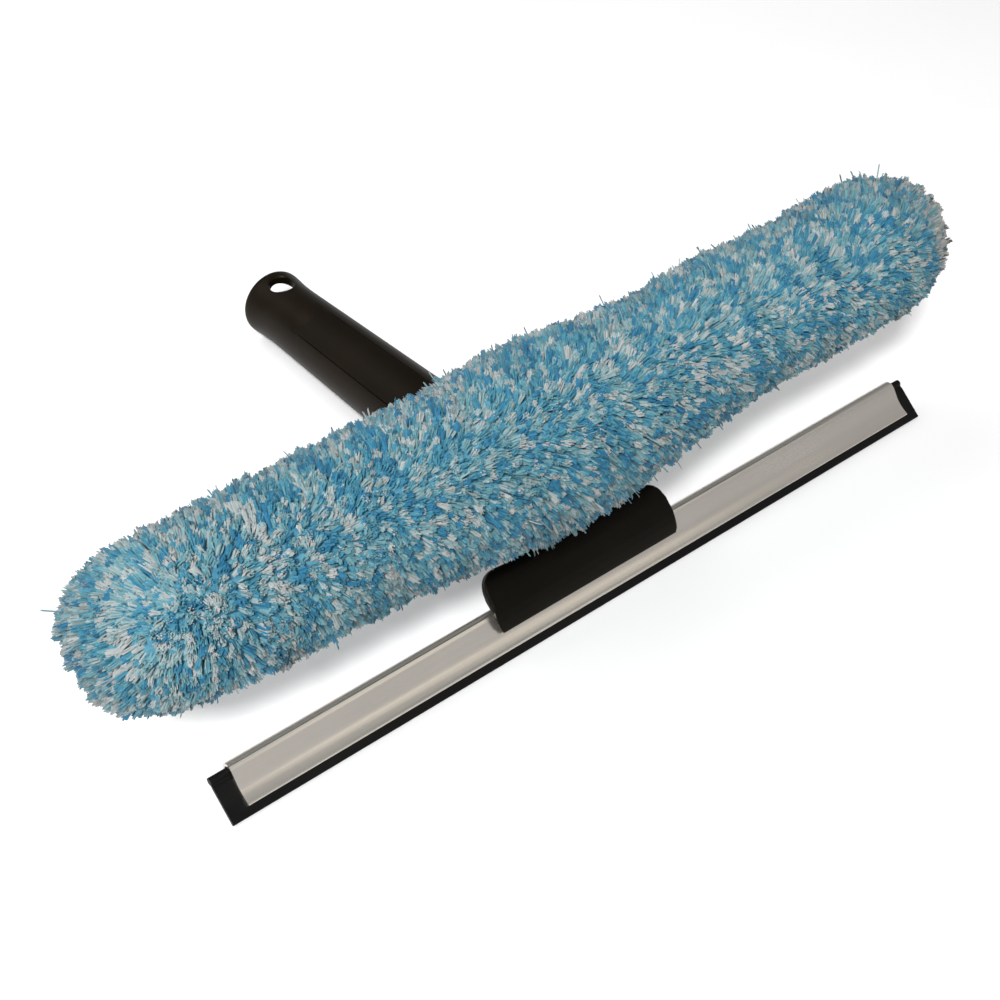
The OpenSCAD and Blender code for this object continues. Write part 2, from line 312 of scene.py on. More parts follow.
def belongs(made, body, node):
    """A piece's body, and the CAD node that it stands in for."""
    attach(made, body)
    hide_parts(node)


def mesh_object(name, points, faces, material, sharp=30):
    """An object from lists, shaded smooth except over edges sharper than an angle."""
    mesh = bpy.data.meshes.new(name)
    mesh.from_pydata([tuple(p) for p in points], [], faces)
    clean = bmesh.new()
    clean.from_mesh(mesh)
    bmesh.ops.recalc_face_normals(clean, faces=clean.faces)
    clean.to_mesh(mesh)
    clean.free()
    mesh.shade_smooth()
    mesh.set_sharp_from_angle(angle=math.radians(sharp))
    made = bpy.data.objects.new(name, mesh)
    mesh.materials.append(material)
    bpy.context.collection.objects.link(made)
    return made


def triangles_object(name, points, triangles, normals, material):
    """A large object from numpy arrays of points, triangles and point normals."""
    mesh = bpy.data.meshes.new(name)
    mesh.vertices.add(len(points))
    mesh.vertices.foreach_set("co", np.ascontiguousarray(points, np.float32).ravel())
    mesh.loops.add(triangles.size)
    mesh.loops.foreach_set("vertex_index", np.ascontiguousarray(triangles, np.int32).ravel())
    mesh.polygons.add(len(triangles))
    mesh.polygons.foreach_set("loop_start", np.arange(0, triangles.size, 3, dtype=np.int32))
    mesh.update(calc_edges=True)
    mesh.shade_smooth()
    mesh.normals_split_custom_set_from_vertices(normals)
    mesh.materials.append(material)
    made = bpy.data.objects.new(name, mesh)
    bpy.context.collection.objects.link(made)
    return made


def ring_faces(rows, columns, closed=True):
    """Quads of a grid whose rows are rings."""
    faces = []
    for i in range(rows - 1):
        for j in range(columns if closed else columns - 1):
            k = (j + 1) % columns
            faces.append((i * columns + j, i * columns + k, (i + 1) * columns + k, (i + 1) * columns + j))
    return faces


def turned(name, rings, columns, place, material, sharp=30):
    """A closed turned body: rings are (d, r) or (d, r(angle)); the first and last have r of 0."""
    points = []
    for d, r in rings[1:-1]:
        for j in range(columns):
            angle = 2 * math.pi * j / columns
            points.append(place(d, angle, r(angle) if callable(r) else r))
    rows = len(rings) - 2
    faces = ring_faces(rows, columns)
    for pole, row in ((rings[0], 0), (rings[-1], rows - 1)):
        points.append(place(pole[0], 0, 0))
        centre = len(points) - 1
        faces += [(row * columns + j, row * columns + (j + 1) % columns, centre) for j in range(columns)]
    return mesh_object(name, points, faces, material, sharp)


def extruded(name, outline, stations, place, material, sharp=30):
    """An outline of (h, n) carried along X through its stations, with closed ends."""
    points = [place(x, h, n) for x in stations for h, n in outline]
    made = mesh_object(name, points, ring_faces(len(stations), len(outline)), material, sharp)
    close_ends(made, sharp)
    return made


def close_ends(made, sharp):
    """Fills the open rims of an object."""
    mesh = made.data
    edit = bmesh.new()
    edit.from_mesh(mesh)
    border = [e for e in edit.edges if e.is_boundary]
    caps = bmesh.ops.holes_fill(edit, edges=border)["faces"]
    bmesh.ops.triangulate(edit, faces=caps)
    bmesh.ops.recalc_face_normals(edit, faces=edit.faces)
    edit.to_mesh(mesh)
    edit.free()
    mesh.shade_smooth()
    mesh.set_sharp_from_angle(angle=math.radians(sharp))


def rod(name, rows, sides, place, material):
    """A closed rod whose rings of points are place(i, j)."""
    points = [place(i, j) for i in range(rows) for j in range(sides)]
    made = mesh_object(name, points, ring_faces(rows, sides), material, 60)
    close_ends(made, 60)
    return made


def with_modifiers(made):
    """Applies an object's modifiers to its mesh."""
    seen = made.evaluated_get(bpy.context.evaluated_depsgraph_get())
    mesh = bpy.data.meshes.new_from_object(seen)
    made.modifiers.clear()
    made.data = mesh
    return made


def softened(node, name, material, voxel, rounds, shape=None):
    """A moulded copy of a CAD node: remeshed finely, edges rounded, and shaped in blade directions."""
    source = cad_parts[node]
    made = bpy.data.objects.new(name, source.data.copy())
    made.data.materials.clear()
    made.data.materials.append(material)
    bpy.context.collection.objects.link(made)
    weld = made.modifiers.new("weld", "WELD")
    weld.merge_threshold = 0.01 * MM
    remesh = made.modifiers.new("remesh", "REMESH")
    remesh.mode = "VOXEL"
    remesh.voxel_size = voxel * MM
    smooth = made.modifiers.new("smooth", "SMOOTH")
    smooth.factor = 0.5
    smooth.iterations = rounds
    with_modifiers(made)
    for vertex in made.data.vertices if shape else ():
        x, y, z = vertex.co
        h = (y - lip_y) * math.cos(BLADE_TILT) + (z - lip_z) * math.sin(BLADE_TILT)
        n = (z - lip_z) * math.cos(BLADE_TILT) - (y - lip_y) * math.sin(BLADE_TILT)
        vertex.co = blade_point(*shape(x, h, n))
    made.data.shade_smooth()
    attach(made, "frame")
    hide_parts(node)
    return made


def ease(value, start, end):
    """0 before start, 1 after end, smooth between."""
    share = min(max((value - start) / (end - start), 0), 1)
    return share * share * (3 - 2 * share)


def cover_shape(x, h, n):
    """The cover is a little higher than its plain block, with squarer corners and ends that taper back."""
    out = ease(abs(x), 30 * MM, 44 * MM)
    up = ease(h, 20 * MM, 31 * MM)
    wider = 0.5 * MM + 0.8 * MM * up - 4.0 * MM * (1 - ease(n, -1 * MM, 7 * MM))
    return x + math.copysign(out, x) * wider, h + 1.2 * MM * up + 1.2 * MM * out * up, n


def head_shape(x, h, n):
    """The back jaw's ends are drawn in behind the cover."""
    return x - math.copysign(3.0 * MM * ease(abs(x), 34 * MM, 43 * MM), x), h, n


def arc(h, n, r, a0, a1, steps):
    """Points on a circle about (h, n); angle 0 points along h."""
    return [(h + r * math.cos(a), n + r * math.sin(a)) for a in np.linspace(a0, a1, steps)]


# ---- Handle ----

HANDLE_LEN = 176 * MM
SOCKET_R = 11.25 * MM
SOCKET_DEPTH = 82 * MM
HANG_D = 10.5 * MM
PANEL = (math.radians(-57), math.radians(11), 35 * MM, 166 * MM)
PANEL_DEPTH = 1.2 * MM
PANEL_FADE = 14 * MM
COLUMNS = 180


def panel_depth(d, angle):
    """How far the handle's skin is set in for the grip panel."""
    a0, a1, d0, d1 = PANEL
    angle = (angle + math.pi) % (2 * math.pi) - math.pi
    inside = min((angle - a0) * 15 * MM, (a1 - angle) * 15 * MM, d1 - d)
    near = min(max((d - d0) / PANEL_FADE, 0), 1)
    return PANEL_DEPTH * near * min(max(inside / (0.25 * MM) + 0.5, 0), 1)


def make_handle(material):
    mouth = [(1.6, SOCKET_R), (0.8, SOCKET_R + 0.15 * MM), (0.3, SOCKET_R + 0.5 * MM),
             (0.05, SOCKET_R + 1.1 * MM), (0.0, 13.4 * MM), (0.15, 14.3 * MM), (0.55, 14.95 * MM),
             (1.2, 15.22 * MM)]
    rings = [(SOCKET_DEPTH, 0), (SOCKET_DEPTH, SOCKET_R * 0.98), (SOCKET_DEPTH - MM, SOCKET_R)]
    rings += [(d * MM, r) for d, r in mouth]
    steps = list(np.arange(2.5, 50, 1.5)) + list(np.arange(52, 164, 3))
    steps += [165.4, 165.8, 166.1, 166.5, 169, 172, 175]
    for step in steps:
        d = step * MM
        rings.append((d, lambda a, d=d: handle_r(d) - panel_depth(d, a)))
    rings += [(HANDLE_LEN, handle_r(HANDLE_LEN) - 0.5 * MM), (HANDLE_LEN, 0)]
    made = turned("handle_tube", rings, COLUMNS, handle_point, material)
    cutter_rings = [(-30, 0), (-30, 6.6), (-16, 6.6), (-14.7, 5.0), (-14.0, 4.5),
                    (14.0, 5.9), (14.7, 6.4), (16, 8.0), (30, 8.0), (30, 0)]

    def across(d, angle, r):
        middle = handle_end + handle_axis * HANG_D + handle_up * d
        return middle + Vector((1, 0, 0)) * math.cos(angle) * r + handle_axis * math.sin(angle) * r

    cutter = turned("cutter", [(d * MM, r * MM) for d, r in cutter_rings], 64, across, material)
    cut = made.modifiers.new("hole", "BOOLEAN")
    cut.operation = "DIFFERENCE"
    cut.object = cutter
    cut.solver = "EXACT"
    with_modifiers(made)
    bpy.data.objects.remove(cutter)
    made.data.set_sharp_from_angle(angle=math.radians(32))
    belongs(made, "frame", "handle")


def make_inlay(material):
    """The panel set into the handle, a little flatter than the tube round it."""
    a0, a1, d0, d1 = PANEL
    gap = 0.14 * MM
    rows, columns = 90, 34
    points = []
    for lift in (1, 0):
        for i in range(rows + 1):
            for j in range(columns + 1):
                u, v = j / columns, i / rows
                d = d0 + gap + (d1 - d0 - 2 * gap) * v
                r0 = handle_r(d)
                turn = gap / r0
                angle = a0 + turn + (a1 - a0 - 2 * turn) * (0.5 - 0.5 * math.cos(math.pi * u))
                edge = min((angle - a0 - turn) * r0, (a1 - turn - angle) * r0, d - d0 - gap, d1 - gap - d)
                soft = min(max(edge / (0.6 * MM), 0), 1)
                crown = 0.10 * MM + 0.45 * MM * math.sin(math.pi * u) ** 2
                r = r0 - crown - 0.35 * MM * (1 - math.sqrt(1 - (1 - soft) ** 2))
                points.append(handle_point(d, angle, r if lift else r0 - PANEL_DEPTH))
    per = (rows + 1) * (columns + 1)
    faces = []
    for base in (0, per):
        faces += [tuple(base + k for k in f) for f in ring_faces(rows + 1, columns + 1, closed=False)]
    border = [(0, j) for j in range(columns)] + [(i, columns) for i in range(rows)]
    border += [(rows, columns - j) for j in range(columns)] + [(rows - i, 0) for i in range(rows)]
    ids = [i * (columns + 1) + j for i, j in border]
    faces += [(a, b, b + per, a + per) for a, b in zip(ids, ids[1:] + ids[:1])]
    made = mesh_object("grip_panel", points, faces, material, 40)
    belongs(made, "frame", "grip_inlay")


# ---- Blade ----

LIP_H, LIP_HALF, TUBE_H, TUBE_R, TUBE_WALL = (v * MM for v in (3.3, 2.6, 16.3, 4.0, 1.25))
SLOT = RUBBER_HALF + 0.12 * MM
END_STEP, BLADE_STEPS = 0.3 * MM, 60


def smooth_line(points, step):
    """A rounded line through a few points, by Catmull-Rom."""
    p = np.array([points[0], *points, points[-1]])
    line = []
    for a, b, c, d in zip(p, p[1:], p[2:], p[3:]):
        for t in np.arange(0, 1, step):
            line.append(tuple(0.5 * (2 * b + (c - a) * t + (2 * a - 5 * b + 4 * c - d) * t ** 2
                                     + (3 * b - a - 3 * c + d) * t ** 3)))
    return line + [tuple(points[-1])]


def channel_outline():
    """One loop: the front face from the lip to the tube, over it, down the back, and back inside."""
    lip_r = 0.36 * MM
    lip = arc(LIP_H + lip_r, LIP_HALF - lip_r, lip_r, math.pi, math.pi / 2, 6)
    start = math.radians(62)
    crest = (TUBE_H + TUBE_R * math.cos(start), TUBE_R * math.sin(start))
    face = [(4.1, 2.52), (5.2, 2.28), (7.2, 2.0), (9.3, 1.93),
            (11.3, 2.16), (13.3, 2.72), (15.0, 3.22), (16.6, 3.55)]
    face = smooth_line([(h * MM, n * MM) for h, n in face] + [crest], 0.2)
    front = [(LIP_H, SLOT + 0.15 * MM)] + lip + face[:-1]
    over = arc(TUBE_H, 0, TUBE_R, start, -start, 41)
    back = [(h, -n) for h, n in reversed(front)]
    bore = TUBE_R - TUBE_WALL
    inner = math.pi - math.asin(SLOT / bore)
    inside = arc(TUBE_H, 0, bore, -inner, inner, 33)
    return front + over + back + [(LIP_H + 0.15 * MM, -SLOT)] + inside + [(LIP_H + 0.15 * MM, SLOT)]


def blade_stations(low, high):
    """Stations from low to high along X, closer together at each end."""
    return [low, *np.linspace(low + END_STEP, high - END_STEP, BLADE_STEPS), high]


def make_channel(material):
    stations = blade_stations(channel_low[0], channel_high[0])
    made = extruded("channel_extrusion", channel_outline(), stations, blade_point, material, 26)
    belongs(made, "blade_channel", "channel")


def make_rubber(material):
    bead_h, bead_r, neck, tip = 17.1 * MM, 1.5 * MM, 0.55 * MM, 0.18 * MM
    half = [(tip, RUBBER_HALF), (bead_h - bead_r - 1.1 * MM, RUBBER_HALF),
            (bead_h - bead_r - 0.9 * MM, RUBBER_HALF - 0.08 * MM), (bead_h - bead_r - 0.75 * MM, neck),
            (bead_h - bead_r + 0.1 * MM, neck)]
    start = math.pi - math.asin(neck / bead_r)
    outline = [(0, RUBBER_HALF - tip)] + half + arc(bead_h, 0, bead_r, start, -start, 25)
    outline += [(h, -n) for h, n in reversed(half)] + [(0, -RUBBER_HALF + tip)]
    stations = blade_stations(rubber_low[0], rubber_high[0])
    made = extruded("blade_of_rubber", outline, stations, blade_point, material, 30)
    belongs(made, "rubber", "rubber_blade")


# ---- Sleeve ----

def sleeve_point(x, angle, r):
    """A point of the sleeve; angle from straight down, positive toward +Y."""
    return (x, bar_y + r * math.sin(angle), bar_z - r * math.cos(angle))


def tube_shell(name, stations, r_in, r_out, a0, a1, columns, material):
    """A C-shaped tube along X, open from a1 round to a0; r_out may vary along X."""
    points = []
    for x in stations:
        outer = r_out(x) if callable(r_out) else r_out
        # The cut sides stay parallel, so the outer surface starts at a smaller angle
        shift = a0 - math.asin(math.sin(a0) * r_in / outer)
        for j in range(columns + 1):
            share = j / columns
            angle = a0 - shift + (a1 - a0 + 2 * shift) * share
            points.append(sleeve_point(x, angle, outer))
        for j in range(columns, -1, -1):
            points.append(sleeve_point(x, a0 + (a1 - a0) * j / columns, r_in))
    made = mesh_object(name, points, ring_faces(len(stations), 2 * (columns + 1)), material, 50)
    close_ends(made, 50)
    return made


SHADES = (
    ("deep", (0.024, 0.150, 0.265), (0.038, 0.200, 0.335), 0.16),
    ("blue", (0.048, 0.215, 0.310), (0.074, 0.265, 0.360), 0.26),
    ("teal", (0.115, 0.288, 0.340), (0.165, 0.335, 0.375), 0.24),
    ("pale", (0.225, 0.348, 0.368), (0.290, 0.390, 0.405), 0.17),
    ("white", (0.350, 0.398, 0.398), (0.430, 0.455, 0.450), 0.17),
    ("cream", (0.350, 0.355, 0.325), (0.460, 0.460, 0.420), 0.0),
)
CREAM = 5
TUFT_SPACING = 2.15 * MM
STRANDS = 13
STRAND_HALF = 0.34 * MM
FLATNESS = 0.55
SOFTNESS = 0.88
LEFT_END, RIGHT_END = -200.0 * MM, 191.0 * MM
DOME = 30 * MM
SKIN = 30.9 * MM
FAN = 14 * MM
ROOTS_DEEP = 5.5 * MM
LIFT = 4.0 * MM
FRINGE = 15 * MM
OPEN_END_TAPER = 1.8 * MM
SCATTER = 0.28
# Rises of the pile's surface, as height, place and spread along the sleeve, in mm
NECK_SWELL, RIGHT_HOLLOW, BACK_SWELL = (7.5, -20, 44), (-2.5, 85, 28), (3.2, -30, 26)
NECK_SIDE = 0.85
CLOSED_TAPER, CLOSED_TAPER_START, CLOSED_TAPER_LEN = 3.0, -115, 45
PALER, PALER_START, PALER_LEN = 0.35, -105, 60
# A strand's rings, as shares of its length and of its half width
RINGS_AT, RINGS_WIDE = (0.42, 0.93, 1.0), (0.85, 1.0)
STRAY_SHARE, STRAY_MIN, STRAY_MAX = 0.003, 0.08, 0.19
PIECE_CUTS = (-1.0, -0.145, -0.08, -0.015, 0.05, 0.115, 1.0)


def outer_r(x):
    """Mean radius of the pile's surface at x, rounded off at both ends."""
    over = np.maximum(np.maximum(LEFT_END + DOME - x, x - RIGHT_END + DOME), 0)
    full = SKIN - OPEN_END_TAPER * np.maximum(x / pile_end, 0)
    return full * np.sqrt(np.maximum(1 - 0.72 * (over / DOME) ** 2, 0))


def measured(points):
    """A polyline as an array, and each point's distance along it."""
    points = np.array(points)
    return points, np.concatenate([[0], np.cumsum(np.linalg.norm(np.diff(points, axis=0), axis=1))])


def even_path(points, step):
    """Points at an even step along a polyline, with each one's share of its length."""
    points, lengths = measured(points)
    at = np.arange(step / 2, lengths[-1], step)
    return np.stack([np.interp(at, lengths, points[:, k]) for k in (0, 1)], 1), at / lengths[-1]


def on_path(points, share):
    """The point at a share of a polyline's length."""
    points, lengths = measured(points)
    return np.array([np.interp(share * lengths[-1], lengths, points[:, k]) for k in (0, 1)])


def tuft_rows():
    """Pairs of surface point and root point, as (x, r), for every ring of tufts."""
    left, right = LEFT_END + DOME + FAN, RIGHT_END - DOME - FAN
    left_out = [(LEFT_END - 1.5 * MM, 0)] + [(x, outer_r(x)) for x in np.linspace(LEFT_END, left, 60)]
    left_in = [(-backing_end, 0), (-backing_end, backing_r), (left, backing_r)]
    right_out = [(x, outer_r(x)) for x in np.linspace(right, RIGHT_END, 60)]
    right_in = [(right, backing_r), (RIGHT_END - 9 * MM, backing_r)]
    middle_out = [(x, outer_r(x)) for x in np.linspace(left, right, 200)]
    rows = []
    for out, root in ((left_out, left_in), (middle_out, None), (right_out, right_in)):
        places, shares = even_path(out, TUFT_SPACING)
        for (x, r), share in zip(places, shares):
            rows.append(((x, r), (x, backing_r) if root is None else tuple(on_path(root, share))))
    return rows


def waves(count, longest, shortest):
    """A smooth random field on (x, angle), between about -1 and 1."""
    length = rng.uniform(shortest, longest, count)
    turn = rng.integers(-3, 4, count)
    phase = rng.uniform(0, 2 * math.pi, count)
    size = rng.uniform(0.5, 1.0, count)

    def field(x, angle):
        total = np.zeros_like(x)
        for k in range(count):
            total += size[k] * np.sin(2 * math.pi * x / length[k] + turn[k] * angle + phase[k])
        return total / math.sqrt(count) / 0.75

    return field


def spread_tufts():
    """Roots and tips of all the tufts, as (x, angle, r)."""
    roots, tips = [], []
    for (x, r), (root_x, root_r) in tuft_rows():
        count = max(int(round(2 * math.pi * r / TUFT_SPACING)), 3)
        angle = 2 * math.pi * (np.arange(count) + rng.uniform()) / count
        angle = angle + rng.normal(0, SCATTER, count) * TUFT_SPACING / max(r, 2 * MM)
        shift = rng.normal(0, SCATTER, count) * TUFT_SPACING
        tips.append(np.stack([x + shift, angle, np.full(count, r)], 1))
        roots.append(np.stack([np.full(count, root_x) + shift, angle, np.full(count, root_r)], 1))
    return np.concatenate(roots), np.concatenate(tips)


def to_space(polar, lift=0.0):
    """Points from (x, angle, r), raised by a little more toward the open end."""
    x, angle, r = polar.T
    rise = lift * np.clip((x - 40 * MM) / (150 * MM), 0, 1)
    return np.stack([x, bar_y + r * np.sin(angle) + 0.77 * rise, bar_z - r * np.cos(angle) + 0.64 * rise], 1)


def unit(v):
    return v / np.maximum(np.linalg.norm(v, axis=1, keepdims=True), 1e-9)


def part_at_slot(roots, tips):
    """Clears the neck's slot: the tufts beside it keep to their own side, and are marked."""
    beside = (tips[:, 0] > slot_start - 4 * MM) & (np.cos(tips[:, 1]) > 0)
    aside = np.abs(tips[:, 2] * np.sin(tips[:, 1]))
    keep = ~(beside & (aside < slot_half + 0.4 * MM))
    roots, tips, beside = roots[keep], tips[keep], beside[keep]
    slot_angle = math.asin((slot_half + 0.3 * MM) / backing_r)
    turned_in = (roots[:, 1] + math.pi) % (2 * math.pi) - math.pi
    held = np.sign(turned_in) * np.maximum(np.abs(turned_in), slot_angle)
    roots[:, 1] = np.where(beside, held, turned_in)
    return roots, tips, beside


def hump(mm, height, middle, spread):
    return height * np.exp(-((mm - middle) / spread) ** 2)


def swell(x, angle):
    """In mm: the pile is pushed out over the neck, most on its lower front, and tapers at its closed end."""
    mm = x / MM
    front = np.clip(np.cos(angle + NECK_SIDE), 0, 1) ** 2
    back = np.clip(-np.cos(angle + NECK_SIDE), 0, 1) ** 2
    taper = CLOSED_TAPER * np.clip((CLOSED_TAPER_START - mm) / CLOSED_TAPER_LEN, 0, 1)
    return front * (hump(mm, *NECK_SWELL) + hump(mm, *RIGHT_HOLLOW) - taper) + back * hump(mm, *BACK_SWELL)


def grown_tufts():
    """Every tuft's place on the sleeve, and its root, knee, tip and way out in space."""
    roots, tips, beside = part_at_slot(*spread_tufts())
    lumps, clumps, comb_x, comb_a = (waves(*w) for w in (
        (9, 0.11, 0.05), (14, 0.03, 0.012), (12, 0.05, 0.016), (12, 0.05, 0.016)))
    x, angle = tips[:, 0], tips[:, 1]
    count = len(tips)
    grow = swell(x, angle) + 0.6 * lumps(x, angle) + 0.5 * clumps(x, angle) + rng.normal(0, 0.75, count)
    tips[:, 2] += grow * MM * np.minimum(tips[:, 2] / (20 * MM), 1)
    tip, root = to_space(tips, LIFT), to_space(roots)
    out = unit(tip - root)
    around = unit(np.cross(ALONG, out) + 1e-9)
    lean_x = 0.9 * comb_x(x, angle) + rng.normal(0, 1.1, count)
    lean_a = 0.9 * comb_a(x, angle) + rng.normal(0, 1.1, count)
    side_a = np.where(beside, 0.3, 1.0) * lean_a
    bow = (ALONG * lean_x[:, None] + around * side_a[:, None]) * MM
    knee = root + (tip - root) * rng.uniform(0.86, 1.0, count)[:, None] - bow * 0.3
    return x, angle, root, knee, tip + bow, out


def tuft_shades(x, angle):
    """Each tuft's shade: patchy, paler toward the closed end, and cream at the open end's edge."""
    patches = waves(14, 0.03, 0.010)
    paler = PALER * np.clip((PALER_START - x / MM) / PALER_LEN, 0, 1)
    pick = 0.5 * patches(x, angle) + rng.normal(0, 1, len(x)) + paler
    shares = np.cumsum([s[3] for s in SHADES[:CREAM]])
    levels = np.quantile(pick, shares[:-1] / shares[-1])
    shade = np.digitize(pick, levels)
    fringe = rng.uniform(0, 1, len(x)) < np.clip((x - RIGHT_END + FRINGE) / FRINGE, 0, 1) ** 0.6
    shade[fringe] = CREAM
    return shade


def strand_lines(tuft, root, knee, tip, out):
    """Each strand's start, bend and end, and its place in its tuft: the outer strands are shorter."""
    n, count = len(tuft), len(root)
    fan = np.sqrt(rng.uniform(0, 1, n))
    turn = rng.uniform(0, 2 * math.pi, n)
    frame_a = unit(np.cross(out, ALONG + 0.01))
    frame_b = np.cross(out, frame_a)
    offset = (frame_a[tuft] * np.cos(turn)[:, None] + frame_b[tuft] * np.sin(turn)[:, None]) * fan[:, None]
    wide = rng.uniform(0.8, 1.25, count)[tuft][:, None] * MM
    start = root[tuft] + offset * 0.4 * wide
    bend = knee[tuft] + offset * 0.9 * wide
    end = tip[tuft] + offset * 1.3 * wide
    cut = 1 - 0.075 * fan[:, None] ** 2 - rng.uniform(0, 0.05, n)[:, None]
    chosen = rng.uniform(0, 1, n) < STRAY_SHARE
    stray = np.where(chosen, rng.uniform(STRAY_MIN, STRAY_MAX, n), 0)[:, None]
    end = start + (end - start) * (cut + stray) + rng.normal(0, 1, (n, 3)) * (0.2 + 7 * stray) * MM
    return start, bend, end, offset


def strand_rings(start, bend, end, dome):
    """Points and normals of every strand: rings of three along a curve, and a tip."""
    lines = [start * (1 - t) ** 2 + 2 * bend * t * (1 - t) + end * t * t for t in RINGS_AT]
    course = unit(end - start)
    spin = rng.uniform(0, 2 * math.pi, len(start))
    p = unit(np.cross(course, ALONG + 0.013))
    q = np.cross(course, p)
    flat = p * np.cos(spin)[:, None] + q * np.sin(spin)[:, None]
    edge = -p * np.sin(spin)[:, None] + q * np.cos(spin)[:, None]
    rings, facing = [], []
    for line, width in zip(lines, RINGS_WIDE):
        for k in range(3):
            turn = 2 * math.pi * k / 3
            aside = flat * math.cos(turn) + edge * math.sin(turn) * FLATNESS
            rings.append(line + aside * (width * STRAND_HALF))
            facing.append(aside * (1 - SOFTNESS) + dome * SOFTNESS)
    rings.append(lines[-1])
    facing.append(dome)
    points, normals = np.stack(rings, 1), np.stack(facing, 1)
    return points, normals / np.linalg.norm(normals, axis=2, keepdims=True)


def strand_faces(last):
    """One strand's triangles, for a tip that is point number last."""
    faces = [(2, 1, 0)]
    for i in range(0, last - 3, 3):
        for k in range(3):
            a, b = i + k, i + (k + 1) % 3
            faces += [(a, b, b + 3), (a, b + 3, a + 3)]
    return np.array(faces + [(last - 3 + k, last - 3 + (k + 1) % 3, last) for k in range(3)])


def make_pile(materials):
    """The pile: every tuft is a brush of strands, joined into pieces by shade and place."""
    x, angle, root, knee, tip, out = grown_tufts()
    shade = tuft_shades(x, angle)
    tuft = np.repeat(np.arange(len(root)), STRANDS)
    start, bend, end, offset = strand_lines(tuft, root, knee, tip, out)
    step = rng.choice([-1, 0, 0, 0, 0, 0, 0, 0, 1], len(tuft))
    strand_shade = np.where(shade[tuft] == CREAM, CREAM, np.clip(shade[tuft] + step, 0, CREAM - 1))
    points, normals = strand_rings(start, bend, end, out[tuft] + offset * 0.55)
    per_strand = points.shape[1]
    face = strand_faces(per_strand - 1)
    at = tip[tuft][:, 0]
    for number, (row, material) in enumerate(zip(SHADES, materials)):
        for part, (x0, x1) in zip("abcdef", zip(PIECE_CUTS, PIECE_CUTS[1:])):
            here = (strand_shade == number) & (at >= x0) & (at < x1)
            if not here.any():
                continue
            chosen = points[here]
            faces = face[None] + per_strand * np.arange(len(chosen))[:, None, None]
            made = triangles_object(f"tufts_{row[0]}_{part}", chosen.reshape(-1, 3),
                                    faces.reshape(-1, 3), normals[here].reshape(-1, 3), material)
            belongs(made, "sleeve", "sleeve_pile")


def make_core(material):
    """The dense roots of the pile: a closed dome and tube left of the slot, and a C beyond it."""
    lumps = waves(16, 0.02, 0.006)

    def skin(x):
        return outer_r(x) - ROOTS_DEEP

    def wave(x, angle):
        return skin(x) + float(lumps(np.array([x]), np.array([angle]))[0]) * 0.7 * MM

    dome = LEFT_END + ROOTS_DEEP
    rings = [(dome - 1 * MM, 0), (dome - 0.8 * MM, skin(dome) * 0.4), (dome - 0.4 * MM, skin(dome) * 0.75)]
    for x in np.linspace(dome, slot_start, 120):
        rings.append((x, lambda angle, x=x: wave(x, angle)))
    left = turned("pile_roots_left", rings + [(slot_start, 0)], 120, sleeve_point, material)
    inner = backing_r + 0.1 * MM
    half_slot = math.asin((slot_half + 0.2 * MM) / inner)
    right = tube_shell("pile_roots_right", np.linspace(slot_start, RIGHT_END - 7 * MM, 110), inner, skin,
                       half_slot, 2 * math.pi - half_slot, 110, material)
    for made in (left, right):
        belongs(made, "sleeve", "sleeve_pile")


# ---- Cloth ----

CLOTH_T = 1.1 * MM
DISC_DOME = 0.35 * MM
STRIP_T, HOOK_HIGH = 0.25 * MM, 0.19 * MM
STITCH_PITCH, STITCH_LEN, STITCH_R = 3.2 * MM, 2.1 * MM, 0.22 * MM


def grid_object(name, rows, columns, place, material, sharp=60):
    """A sheet whose points are place(i, j)."""
    points = [place(i, j) for i in range(rows) for j in range(columns)]
    return mesh_object(name, points, ring_faces(rows, columns, closed=False), material, sharp)


def thickened(made, thickness):
    """Gives a sheet its thickness, half to each side, and folds its edges round."""
    solid = made.modifiers.new("thick", "SOLIDIFY")
    solid.thickness = thickness
    solid.offset = 0
    bevel = made.modifiers.new("fold", "BEVEL")
    bevel.width = thickness * 0.42
    bevel.segments = 2
    bevel.limit_method = "ANGLE"
    bevel.angle_limit = math.radians(60)
    with_modifiers(made)
    made.data.shade_smooth()
    return made


def stitches(name, line, outward, material):
    """A row of thread stitches: line and outward give the place and the way out at a distance."""
    points, faces = [], []
    length, at = line(None), STITCH_PITCH / 2
    while at < length - STITCH_LEN / 2:
        sides = 6
        for k in range(5):
            u = k / 4
            middle = Vector(line(at + (u - 0.5) * STITCH_LEN))
            out = Vector(outward(at))
            ahead = (Vector(line(at + 0.001)) - Vector(line(at - 0.001))).normalized()
            across = ahead.cross(out)
            thick = STITCH_R * (0.35 + 0.65 * math.sin(math.pi * u))
            base = middle + out * (STITCH_R * (0.9 * math.sin(math.pi * u) - 0.3))
            for j in range(sides):
                turn = 2 * math.pi * j / sides
                points.append(base + across * math.cos(turn) * thick * 1.3 + out * math.sin(turn) * thick)
        start = len(points) - 5 * sides
        faces += [tuple(start + v for v in f) for f in ring_faces(5, sides)]
        faces += [tuple(start + j for j in range(sides)), tuple(start + 4 * sides + j for j in range(sides))]
        at += STITCH_PITCH
    return mesh_object(name, points, faces, material, 60)


